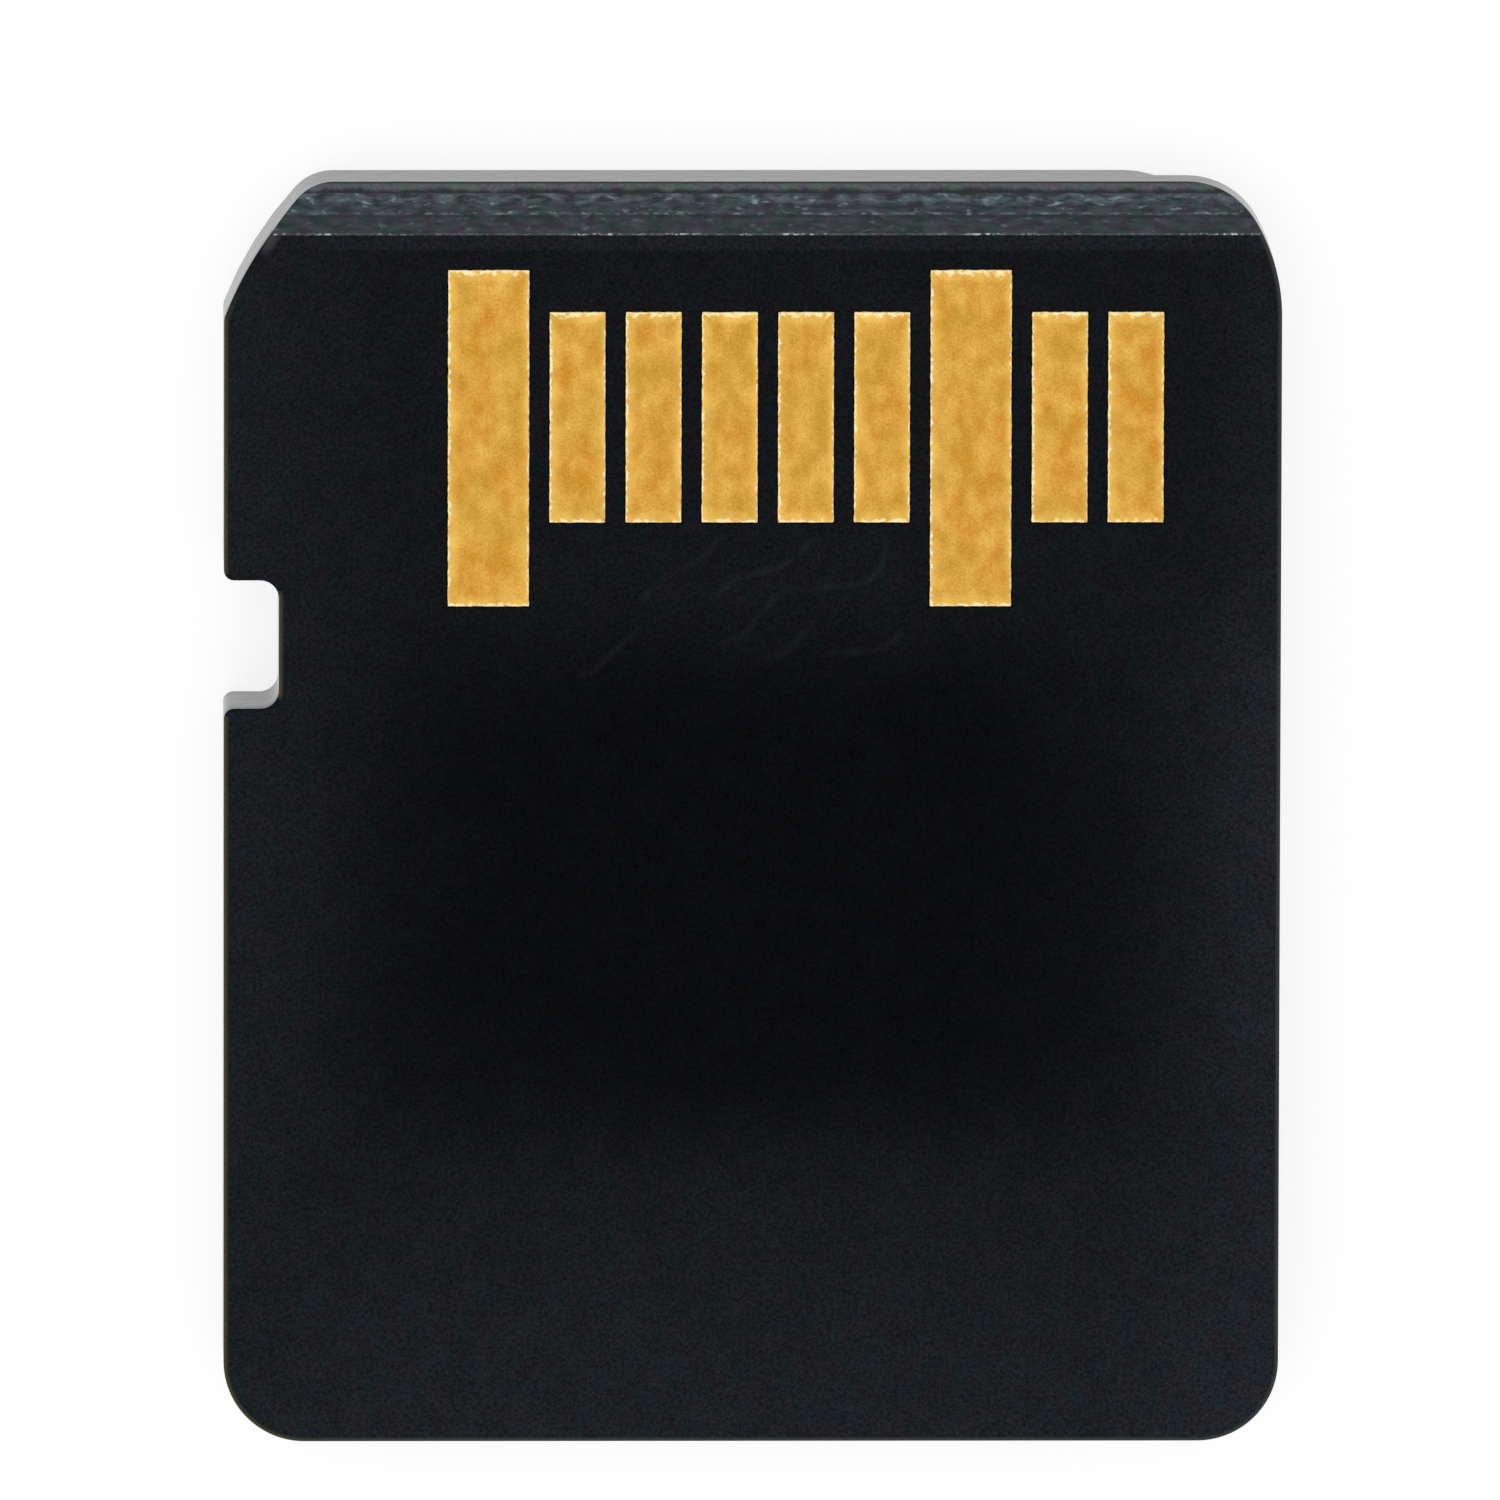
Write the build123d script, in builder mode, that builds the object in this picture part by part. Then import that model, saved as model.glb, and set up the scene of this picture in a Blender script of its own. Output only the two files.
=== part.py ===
import os
from math import radians, sin

from build123d import *

# Console memory card, in millimetres.
# It lies on its label face at Z = 0, contacts up. +Y is the end that goes into the socket first,
# and the key corner and the latch notch are on the -X side.

# Card
card_width = 12.5
card_length = 15.0
card_thickness = 1.6
board_thickness = 0.36
rear_corner_radius = 0.96
board_edge_break = 0.05
label_edge_radius = 0.08

# Bevel ground along the lead end, through the board and a little into the resin
bevel_length = 0.58
bevel_depth = 0.46

# Lead corner on the rail side: a tight arc that runs on into a long lead-in arc
lead_corner_radius = 0.95
lead_in_radius = 2.2
lead_in_turn = 29.0

# Key corner: a bowed cut, blended into the lead end and, more tightly, into the side
key_blend_radius = 0.60
key_turn_in = 47.5
key_bow_radius = 4.3
key_bow_turn = 21.5
key_foot_radius = 0.15

# Latch notch in the key side
notch_from_lead = 4.70
notch_length = 1.53
notch_depth = 0.65
notch_mouth_radius = 0.12
notch_root_radius = 0.22

# Guide rail: the label side is stepped back along the side away from the key corner
rail_width = 0.70
rail_ledge = 0.56
rail_corner_radius = 1.15

# Contacts, flush with the resist, in their order from the key side
contact_order = ("long", "short", "short", "short", "short", "short", "long", "short", "short")
long_contact_width = 0.95
long_contact_length = 4.0
long_contact_setback = 1.0
short_contact_width = 0.65
short_contact_length = 2.5
short_contact_setback = 1.5
contact_gap = 0.25
contact_row_inset = 2.65
contact_thickness = 0.03
contact_edge_break = 0.01
contact_clearance = 0.02

# Flash dies, each stepped back from the one before it so that its bond edge stays bare
die_count = 8
die_thickness = 0.05
die_film_thickness = 0.015
die_shelf = 0.22
side_cover = 0.50
rear_cover = 0.66

# Controller die and ceramic capacitors, side by side ahead of the flash dies
controller_width = 4.4
controller_length = 2.2
controller_thickness = 0.15
controller_lead_cover = 1.05
controller_gap = 0.35
capacitor_count = 3
capacitor_width = 0.5
capacitor_length = 1.0
capacitor_height = 0.5
capacitor_gap = 0.5

# Bond wires, looping away from the board
wire_size = 0.03
wire_loop = 0.06
flash_wire_count = 10
flash_wire_pitch = 0.85
controller_wire_count = 8
controller_wire_pitch = 0.45
controller_wire_inset = 0.10
controller_wire_reach = 0.15

# Heights and edges worked out from the sizes above
half_width = card_width / 2
half_length = card_length / 2
board_bottom = card_thickness - board_thickness
key_turn_out = 90 - key_turn_in - key_bow_turn
notch_front = half_length - notch_from_lead
notch_rear = notch_front - notch_length
notch_root = -half_width + notch_depth

# Plan size of the arcs at the lead end
lead_corner_depth = lead_in_radius * sin(radians(lead_in_turn)) + lead_corner_radius * (
    1 - sin(radians(lead_in_turn))
)
key_bow_end = radians(key_turn_in + key_bow_turn)
key_width = (
    key_blend_radius * sin(radians(key_turn_in))
    + key_bow_radius * (sin(key_bow_end) - sin(radians(key_turn_in)))
    + key_foot_radius * (1 - sin(key_bow_end))
)

# Flash stack: as wide as the notch and the side covers allow, and as long as its steps allow
stack_front = half_length - controller_lead_cover - controller_length - controller_gap
die_width = card_width - 2 * (notch_depth + side_cover)
die_length = stack_front + half_length - rear_cover - (die_count - 1) * die_shelf
die_pitch = die_thickness + die_film_thickness

os.makedirs("parts", exist_ok=True)


def notch_lines(start):
    # Latch notch, followed from the lead end to the rear, with rounded mouth and root
    front_mouth = JernArc(start, (0, -1), notch_mouth_radius, 90)
    front_wall = Line(front_mouth @ 1, (notch_root - notch_root_radius, notch_front))
    front_root = JernArc(front_wall @ 1, (1, 0), notch_root_radius, -90)
    back_wall = Line(front_root @ 1, (notch_root, notch_rear + notch_root_radius))
    rear_root = JernArc(back_wall @ 1, (0, -1), notch_root_radius, -90)
    rear_wall = Line(rear_root @ 1, (-half_width + notch_mouth_radius, notch_rear))
    return JernArc(rear_wall @ 1, (-1, 0), notch_mouth_radius, 90)


def card_outline(stepped):
    # Outline of the card, followed round from the rear corner on the rail side.
    # The stepped outline leaves the guide rail out.
    if stepped:
        side = half_width - rail_width
        rear_radius = rail_corner_radius
        front_depth = rail_corner_radius
    else:
        side = half_width
        rear_radius = rear_corner_radius
        front_depth = lead_corner_depth
    with BuildSketch() as plan:
        with BuildLine():
            rail_side = Line((side, -half_length + rear_radius), (side, half_length - front_depth))
            if stepped:
                lead_corner = JernArc(rail_side @ 1, (0, 1), rail_corner_radius, 90)
            else:
                lead_in = JernArc(rail_side @ 1, (0, 1), lead_in_radius, lead_in_turn)
                lead_corner = JernArc(lead_in @ 1, lead_in % 1, lead_corner_radius, 90 - lead_in_turn)
            lead_end = Line(lead_corner @ 1, (-half_width + key_width, half_length))
            key_blend = JernArc(lead_end @ 1, (-1, 0), key_blend_radius, key_turn_in)
            key_bow = JernArc(key_blend @ 1, key_blend % 1, key_bow_radius, key_bow_turn)
            key_foot = JernArc(key_bow @ 1, key_bow % 1, key_foot_radius, key_turn_out)
            key_side = Line(key_foot @ 1, (-half_width, notch_front + notch_mouth_radius))
            notch = notch_lines(key_side @ 1)
            tail_side = Line(notch @ 1, (-half_width, -half_length + rear_corner_radius))
            tail_corner = JernArc(tail_side @ 1, (0, -1), rear_corner_radius, 90)
            rear_end = Line(tail_corner @ 1, (side - rear_radius, -half_length))
            JernArc(rear_end @ 1, (1, 0), rear_radius, 90)
        make_face()
    return plan.sketch


def bevel_section():
    # Seen from the side: the slope starts on the contact face and comes out through the end wall
    with BuildSketch() as section:
        with BuildLine():
            Polyline(
                (half_length - bevel_length, card_thickness),
                (half_length, card_thickness - bevel_depth),
                (half_length + bevel_length, card_thickness - bevel_depth),
                (half_length + bevel_length, card_thickness + bevel_depth),
                (half_length - bevel_length, card_thickness + bevel_depth),
                close=True,
            )
        make_face()
    return section.sketch


def contact_list():
    # Name, plan size and middle of each contact, one gap apart along the row
    contacts = []
    numbers = {"long": 0, "short": 0}
    edge = -half_width + contact_row_inset
    for kind in contact_order:
        numbers[kind] += 1
        if kind == "long":
            width, length, setback = long_contact_width, long_contact_length, long_contact_setback
        else:
            width, length, setback = short_contact_width, short_contact_length, short_contact_setback
        middle = (edge + width / 2, half_length - setback - length / 2)
        contacts.append((f"{kind}_contact_{numbers[kind]}", width, length, middle))
        edge += width + contact_gap
    return contacts


def controller_middle():
    # The controller and the capacitors are centred on the card as one row
    row_width = controller_width + capacitor_count * (capacitor_gap + capacitor_width)
    return ((controller_width - row_width) / 2, half_length - controller_lead_cover - controller_length / 2)


def inner_list():
    # Name, size, middle in plan and top height of each block under the board
    blocks = []
    for level in range(die_count):
        middle = (0, stack_front - level * die_shelf - die_length / 2)
        film_top = board_bottom - level * die_pitch
        film_size = (die_width, die_length, die_film_thickness)
        die_size = (die_width, die_length, die_thickness)
        blocks.append((f"die_attach_film_{level + 1}", film_size, middle, film_top))
        blocks.append((f"flash_die_{level + 1}", die_size, middle, film_top - die_film_thickness))
    middle = controller_middle()
    film_size = (controller_width, controller_length, die_film_thickness)
    die_size = (controller_width, controller_length, controller_thickness)
    blocks.append(("controller_attach_film", film_size, middle, board_bottom))
    blocks.append(("controller_die", die_size, middle, board_bottom - die_film_thickness))
    capacitor_size = (capacitor_width, capacitor_length, capacitor_height)
    capacitor_x = middle[0] + (controller_width - capacitor_width) / 2
    for place in range(capacitor_count):
        capacitor_x += capacitor_gap + capacitor_width
        middle = (capacitor_x, middle[1])
        blocks.append((f"ceramic_capacitor_{place + 1}", capacitor_size, middle, board_bottom))
    return blocks


def bond_wire(start, end):
    # One wire in the YZ plane: away from its pad, across, and back to where it lands
    loop_height = min(start[1], end[1]) - wire_loop
    with BuildPart() as wire:
        with BuildLine(Plane.YZ) as route:
            Polyline(start, (start[0], loop_height), (end[0], loop_height), end)
        with BuildSketch(Plane(route.line ^ 0)):
            Rectangle(wire_size, wire_size)
        sweep(transition=Transition.RIGHT)
    return wire.part


def flash_wires(level):
    # From the bare edge of one die to the die before it, or to the board.
    # Each bare edge holds two rows, a quarter of its width from either side.
    front = stack_front - level * die_shelf
    pad_height = board_bottom - (level + 1) * die_pitch
    start = (front - die_shelf / 4, pad_height)
    end = (front + die_shelf / 4, pad_height + die_pitch)
    with BuildPart() as row:
        with GridLocations(flash_wire_pitch, 0, flash_wire_count, 1):
            add(bond_wire(start, end))
    return row.part


def controller_wires():
    # One row to the board along each long edge of the controller
    middle = controller_middle()
    pad_height = board_bottom - die_film_thickness - controller_thickness
    with BuildPart() as rows:
        for side in (1, -1):
            edge = middle[1] + side * controller_length / 2
            start = (edge - side * controller_wire_inset, pad_height)
            end = (edge + side * controller_wire_reach, board_bottom)
            with Locations((middle[0], 0)):
                with GridLocations(controller_wire_pitch, 0, controller_wire_count, 1):
                    add(bond_wire(start, end))
    return rows.part


def hang_block(size, middle, top, mode=Mode.ADD):
    with Locations((middle[0], middle[1], top)):
        Box(*size, align=(Align.CENTER, Align.CENTER, Align.MAX), mode=mode)


# Printed board: broken edge, ground lead end, one window in the resist for each contact
with BuildPart() as printed_board:
    with BuildSketch(Plane.XY.offset(board_bottom)):
        add(card_outline(stepped=False))
    extrude(amount=board_thickness)
    contact_face = printed_board.faces().sort_by(Axis.Z)[-1]
    chamfer(contact_face.outer_wire().edges(), board_edge_break)
    with BuildSketch(Plane.YZ):
        add(bevel_section())
    extrude(amount=card_width, both=True, mode=Mode.SUBTRACT)
    with BuildSketch(Plane.XY.offset(card_thickness)):
        for _, width, length, middle in contact_list():
            with Locations(middle):
                Rectangle(width + 2 * contact_clearance, length + 2 * contact_clearance)
    extrude(amount=-contact_thickness, mode=Mode.SUBTRACT)
printed_board.part.label = "printed_board"
export_step(printed_board.part, "parts/printed_board.step")

# Contacts: gold plated pads on the laminate, their upper edges eased
for name, width, length, middle in contact_list():
    with BuildPart() as contact:
        with BuildSketch(Plane.XY.offset(card_thickness - contact_thickness)):
            with Locations(middle):
                Rectangle(width, length)
        extrude(amount=contact_thickness)
        chamfer(contact.faces().sort_by(Axis.Z)[-1].edges(), contact_edge_break)
    contact.part.label = name
    export_step(contact.part, f"parts/{name}.step")

# Dies, films and capacitors, each hung from the board or from the piece above it
for name, size, middle, top in inner_list():
    with BuildPart() as inner_piece:
        hang_block(size, middle, top)
    inner_piece.part.label = name
    export_step(inner_piece.part, f"parts/{name}.step")

# Bond wires, one row for each flash die and two for the controller
wire_rows = {f"flash_bond_wires_{level + 1}": flash_wires(level) for level in range(die_count)}
wire_rows["controller_bond_wires"] = controller_wires()
for name, row in wire_rows.items():
    with BuildPart() as bond_wires:
        add(row)
    bond_wires.part.label = name
    export_step(bond_wires.part, f"parts/{name}.step")

# Moulded body: resin with the card's outline, stepped back beside the rail on the label side,
# and moulded closely round every piece under the board
with BuildPart() as moulded_body:
    with BuildSketch(Plane.XY):
        add(card_outline(stepped=True))
    extrude(amount=rail_ledge)
    with BuildSketch(Plane.XY.offset(rail_ledge)):
        add(card_outline(stepped=False))
    extrude(amount=board_bottom - rail_ledge)
    label_face = moulded_body.faces().sort_by(Axis.Z)[0]
    fillet(label_face.outer_wire().edges(), label_edge_radius)
    with BuildSketch(Plane.YZ):
        add(bevel_section())
    extrude(amount=card_width, both=True, mode=Mode.SUBTRACT)
    for _, size, middle, top in inner_list():
        hang_block(size, middle, top, mode=Mode.SUBTRACT)
    for row in wire_rows.values():
        add(row, mode=Mode.SUBTRACT)
moulded_body.part.label = "moulded_body"
export_step(moulded_body.part, "parts/moulded_body.step")
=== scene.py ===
import math

import bmesh
import bpy
from mathutils import Matrix, Vector, noise
from mathutils.geometry import tessellate_polygon


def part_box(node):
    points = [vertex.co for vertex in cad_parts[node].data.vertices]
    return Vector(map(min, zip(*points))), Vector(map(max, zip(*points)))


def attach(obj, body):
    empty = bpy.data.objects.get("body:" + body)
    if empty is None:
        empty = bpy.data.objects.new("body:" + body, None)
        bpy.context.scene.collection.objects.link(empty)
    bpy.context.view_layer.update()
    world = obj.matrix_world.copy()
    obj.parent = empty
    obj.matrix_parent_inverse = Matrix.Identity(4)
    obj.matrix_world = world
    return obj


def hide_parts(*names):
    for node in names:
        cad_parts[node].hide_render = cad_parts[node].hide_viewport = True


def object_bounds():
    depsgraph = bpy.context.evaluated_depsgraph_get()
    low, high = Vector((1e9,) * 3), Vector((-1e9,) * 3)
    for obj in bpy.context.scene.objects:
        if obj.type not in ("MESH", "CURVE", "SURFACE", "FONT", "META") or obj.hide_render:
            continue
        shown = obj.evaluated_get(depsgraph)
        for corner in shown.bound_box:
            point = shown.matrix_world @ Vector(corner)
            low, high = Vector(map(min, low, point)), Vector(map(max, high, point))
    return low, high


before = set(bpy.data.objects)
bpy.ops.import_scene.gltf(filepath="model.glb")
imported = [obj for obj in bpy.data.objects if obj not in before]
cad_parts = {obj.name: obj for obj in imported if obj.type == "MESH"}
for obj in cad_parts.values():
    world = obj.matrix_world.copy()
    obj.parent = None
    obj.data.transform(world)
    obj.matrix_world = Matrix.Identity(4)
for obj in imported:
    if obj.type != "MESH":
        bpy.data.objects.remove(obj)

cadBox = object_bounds()
mm = 0.001
grainSpan = (0.3, 0.7)  # where most of a fine noise lies
print("frame: %d nodes" % len(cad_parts))


def hexToLinear(hexColour):
    channels = [int(hexColour[i:i + 2], 16) / 255 for i in (1, 3, 5)]
    linear = [c / 12.92 if c <= 0.04045 else ((c + 0.055) / 1.055) ** 2.4 for c in channels]
    return (*linear, 1.0)


def tones(look):
    # all the hex colours of a look, made linear
    return {key: hexToLinear(value) for key, value in look.items() if isinstance(value, str)}


def setInputs(tree, node, inputs):
    # links sockets and sets plain values, by name or in the order of the node's inputs
    pairs = inputs.items() if isinstance(inputs, dict) else enumerate(inputs)
    for key, value in pairs:
        if isinstance(value, bpy.types.NodeSocket):
            tree.links.new(value, node.inputs[key])
        else:
            node.inputs[key].default_value = value


def addNode(tree, kind, inputs=(), **settings):
    # adds a node with its settings, values and links, and gives back its first live output
    node = tree.nodes.new(kind)
    for name, value in settings.items():
        setattr(node, name, value)
    setInputs(tree, node, inputs)
    return next(s for s in node.outputs if s.enabled)


def newMaterial(name):
    # every pattern is drawn in millimetres of the card itself
    material = bpy.data.materials.new(name)
    material.use_nodes = True
    tree = material.node_tree
    place = addNode(tree, "ShaderNodeTexCoord").node.outputs["Object"]
    place = addNode(tree, "ShaderNodeVectorMath", {0: place, "Scale": 1 / mm}, operation="SCALE")
    return material, tree, tree.nodes["Principled BSDF"], place


# Outline of the card in plan, in millimetres and degrees, as the solids have it
plan = {
    "rearCornerRadius": 0.96,
    "leadCornerRadius": 0.95,
    "leadInRadius": 2.2,
    "leadInTurn": 29.0,
    "keyBlendRadius": 0.60,
    "keyTurnIn": 47.5,
    "keyBowRadius": 4.3,
    "keyBowTurn": 21.5,
    "keyFootRadius": 0.15,
    "notchFromLead": 4.70,
    "notchLength": 1.53,
    "notchDepth": 0.65,
    "notchMouthRadius": 0.12,
    "notchRootRadius": 0.22,
    "bevelLength": 0.58,
    "bevelDepth": 0.46,
    "boardEdgeRadius": 0.05,
    "seamFromRail": 1.85,  # the two halves of the outline meet here, clear of the corners
    "arcStep": 0.04,       # longest chord on an arc
    "arcChords": 6,        # fewest chords on an arc
}
halfWidth = cadBox[1][0] / mm
halfLength = cadBox[1][1] / mm
cardHeight = cadBox[1][2] / mm
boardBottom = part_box("printed_board")[0][2] / mm
bevelTop = halfLength - plan["bevelLength"]
slopeNormal = Vector((0, plan["bevelDepth"], plan["bevelLength"])).normalized()
seamX = halfWidth - plan["seamFromRail"]


# Black solder resist on the contact face: a screened and cured epoxy ink, so it is matt and very dark,
# with a fine grain, faint mauve and green tints, a pale line along the cut edges, and painted sheen: paler
# towards the sides and rear, darker in the middle
resistLook = {
    "green": "#141A1D",
    "mauve": "#19181C",
    "tintMm": 0.27,
    "tintSpan": (0.40, 0.60),
    "grainMm": 0.035,      # the matting powder is finer, drawn coarser to show
    "grit": (0.52, 1.48),
    "mottleMm": 0.42,
    "mottleSpan": (0.38, 0.62),
    "mottle": (0.93, 1.07),
    "sideSheenPainted": 0.55,     # painted sheen towards the sides
    "keySideMm": 2.0,
    "railSideMm": 1.0,
    "rearSheenPainted": 0.85,
    "rearFrom": -3.2,
    "flankSheenPainted": 0.50,    # painted sheen beside the rail, behind the contacts
    "flankMm": (1.9, 0.45),
    "flankBehind": (3.0, 1.6),
    "stripPaler": 0.60,    # strip rubbed by the grinder behind the slope
    "stripMm": 0.18,
    "stripSoftMm": 0.02,
    "paintedShadeLevel": 0.40,     # painted shade, darker in the middle of the face
    "paintedShadeCentre": (-0.1, -0.85),
    "paintedShadeHalf": (3.9, 2.6),
    "paintedShadeSpan": (0.80, 2.55),
    "paintedShadeCloud": 0.8,
    "cloudMm": 1.8,
    "rub": "#454144",      # the grinder also touched the face beside the key corner
    "rubCentre": (-5.70, 6.86),
    "rubHeading": (0.56, 0.83),
    "rubHalf": (0.22, 0.10),
    "rubSpan": (0.25, 1.0),
    "edge": "#494D4D",
    "keySideEdge": "#544F37",
    "keySideEdgeMm": 1.0,
    "paleLineMm": (0.01, 0.06),
    "roughness": (0.55, 0.75),
    "specular": 0.02,
    "bump": (0.3, 0.004),  # strength, and depth in millimetres
}


def solderResist():
    look, tone = resistLook, tones(resistLook)
    material, tree, shader, place = newMaterial("solder_resist_screened_matt")
    across, along, _ = addNode(tree, "ShaderNodeSeparateXYZ", [place]).node.outputs
    grain, tint, cloud, mottle = (
        addNode(tree, "ShaderNodeTexNoise", {"Vector": place, "Scale": 1 / look[size], "Detail": detail})
        for size, detail in (("grainMm", 2.0), ("tintMm", 3.0), ("cloudMm", 3.0), ("mottleMm", 4.0))
    )
    tint = addNode(tree, "ShaderNodeMapRange", [tint, *look["tintSpan"]])
    colour = addNode(tree, "ShaderNodeMix", {0: tint, 6: tone["green"], 7: tone["mauve"]}, data_type="RGBA")
    # painted sheen, paler towards the sides and the rear, and a paler ground strip
    keySide = addNode(tree, "ShaderNodeMapRange", [
        across, look["keySideMm"] - halfWidth, -halfWidth, 0.0, look["sideSheenPainted"],
    ])
    railSide = addNode(tree, "ShaderNodeMapRange", [
        across, halfWidth - look["railSideMm"], halfWidth, 0.0, look["sideSheenPainted"],
    ])
    # painted sheen towards the rear
    rear = addNode(tree, "ShaderNodeMapRange", [along, look["rearFrom"], -halfLength, 0.0, look["rearSheenPainted"]])
    stripFrom, soft = bevelTop - look["stripMm"], look["stripSoftMm"]
    strip = addNode(tree, "ShaderNodeMapRange", [
        along, stripFrom - soft, stripFrom + soft, 0.0, look["stripPaler"],
    ])
    outer, inner = look["flankMm"]
    # painted sheen beside the rail, behind the contacts
    flank = addNode(tree, "ShaderNodeMapRange", [
        across, halfWidth - outer, halfWidth - inner, 0.0, look["flankSheenPainted"],
    ])
    behind = addNode(tree, "ShaderNodeMapRange", [along, *look["flankBehind"]])
    flank = addNode(tree, "ShaderNodeMath", [flank, behind], operation="MULTIPLY")
    paintedSheenAndStrip = keySide
    for share in (rear, railSide, strip):
        paintedSheenAndStrip = addNode(tree, "ShaderNodeMath", [paintedSheenAndStrip, share], operation="MAXIMUM")
    for share in (flank, 1.0):
        paintedSheenAndStrip = addNode(tree, "ShaderNodeMath", [paintedSheenAndStrip, share], operation="ADD")
    # painted shade: a darker pool in the middle, nearly square, with a soft cloudy border
    (centreX, centreY), (halfX, halfY) = look["paintedShadeCentre"], look["paintedShadeHalf"]
    paintedShade = addNode(tree, "ShaderNodeVectorMath", [place, (-centreX, -centreY, 0)], operation="ADD")
    paintedShade = addNode(tree, "ShaderNodeVectorMath", [paintedShade, (1 / halfX, 1 / halfY, 0)], operation="MULTIPLY")
    paintedShade = addNode(tree, "ShaderNodeVectorMath", [paintedShade, paintedShade], operation="MULTIPLY")
    paintedShade = addNode(tree, "ShaderNodeVectorMath", [paintedShade], operation="LENGTH").node.outputs["Value"]
    paintedShade = addNode(tree, "ShaderNodeMath", [cloud, look["paintedShadeCloud"], paintedShade], operation="MULTIPLY_ADD")
    paintedShade = addNode(tree, "ShaderNodeMapRange", [
        paintedShade, *look["paintedShadeSpan"], look["paintedShadeLevel"], 1.0,
    ], interpolation_type="SMOOTHSTEP")
    grit = addNode(tree, "ShaderNodeMapRange", [grain, *grainSpan, *look["grit"]])
    mottle = addNode(tree, "ShaderNodeMapRange", [mottle, *look["mottleSpan"], *look["mottle"]])
    for level in (paintedSheenAndStrip, paintedShade, grit, mottle):
        colour = addNode(tree, "ShaderNodeVectorMath", {0: colour, "Scale": level}, operation="SCALE")
    # rubbed patch, long in the direction of the key edge
    (centreX, centreY), (headX, headY), (long, wide) = look["rubCentre"], look["rubHeading"], look["rubHalf"]
    spot = addNode(tree, "ShaderNodeVectorMath", [place, (-centreX, -centreY, 0)], operation="ADD")
    offsets = []
    for axis in ((headX / long, headY / long, 0), (-headY / wide, headX / wide, 0)):
        offset = addNode(tree, "ShaderNodeVectorMath", [spot, axis], operation="DOT_PRODUCT")
        offsets.append(offset.node.outputs["Value"])
    spot = addNode(tree, "ShaderNodeCombineXYZ", offsets)
    spot = addNode(tree, "ShaderNodeVectorMath", [spot], operation="LENGTH").node.outputs["Value"]
    rub = addNode(tree, "ShaderNodeMapRange", [spot, *look["rubSpan"], 1.0, 0.0])
    colour = addNode(tree, "ShaderNodeMix", {0: rub, 6: colour, 7: tone["rub"]}, data_type="RGBA")
    # pale line along the edges, browner on the key side; the same colour paints the highlight on the crests of
    # the track ridges
    keyEdge = look["keySideEdgeMm"] - halfWidth
    onKeySide = addNode(tree, "ShaderNodeMath", [across, keyEdge], operation="LESS_THAN")
    edge = addNode(tree, "ShaderNodeMix", {
        0: onKeySide, 6: tone["edge"], 7: tone["keySideEdge"],
    }, data_type="RGBA")
    fromEdge = addNode(tree, "ShaderNodeAttribute", attribute_name="fromEdge").node.outputs["Fac"]
    paleLine = addNode(tree, "ShaderNodeMapRange", [fromEdge, *look["paleLineMm"], 1.0, 0.0])
    colour = addNode(tree, "ShaderNodeMix", {0: paleLine, 6: colour, 7: edge}, data_type="RGBA")
    roughness = addNode(tree, "ShaderNodeMapRange", [grain, *grainSpan, *look["roughness"]])
    strength, deep = look["bump"]
    bump = addNode(tree, "ShaderNodeBump", {"Strength": strength, "Distance": deep * mm, "Height": grain})
    setInputs(tree, shader, {
        "Base Color": colour, "Roughness": roughness, "Normal": bump, "Specular IOR Level": look["specular"],
    })
    return material


# Glass and epoxy laminate where the grinder has cut through it: dark resin with green and mauve tints, woven
# glass that shows as soft wavy streaks and small glints, a broken seam, and bright chips along the upper edge
laminateLook = {
    "green": "#1B302C",
    "mauve": "#302A38",
    "tintMm": (0.26, 0.11),
    "tintSpan": (0.42, 0.58),
    "waveMm": 0.50,            # half the pitch of the yarns
    "waveHeightMm": 0.05,
    "waveDrift": 0.3,          # how fast the waves change down the slope
    "coreDepthMm": (0.17, 0.20),
    "fibre": "#707F86",
    "streakMm": (0.25, 0.055),
    "streakSpan": (0.40, 0.72),
    "streakShare": (0.6, 1.0),  # in the outer ply and in the core
    "warpDepthMm": 0.315,
    "warpHalfMm": (0.02, 0.05),
    "offWarpShare": 0.45,
    "glint": "#A0C0C4",
    "glintMm": (0.17, 0.048),
    "glintShift": (7.3, 3.1, 5.7),  # so that the glints don't follow the streaks
    "glintSpan": (0.60, 0.82),
    "glintShare": (0.35, 0.9),
    "seamDepthMm": 0.185,
    "seamHalfMm": (0.004, 0.012),
    "seamShare": 0.42,
    "seamBreakMm": 0.14,
    "seamBreakSpan": (0.48, 0.66),
    "darkAboveMm": 0.026,      # thin dark line above the seam
    "darkHalfMm": (0.006, 0.018),
    "darkLevel": 0.68,
    "chip": "#DCE6E6",
    "chipMm": 0.05,
    "chipSpan": (0.48, 0.66),
    "chipDepthMm": (0.012, 0.020),
    "runMm": 0.4,              # chips come in runs
    "runSpan": (0.45, 0.66),
    "runShare": (0.1, 1.0),
    "lineShare": 0.03,         # faint line between the chips
    "roughness": 0.45,
    "specular": 0.35,
    "bump": (0.25, 0.004),
}


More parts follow.
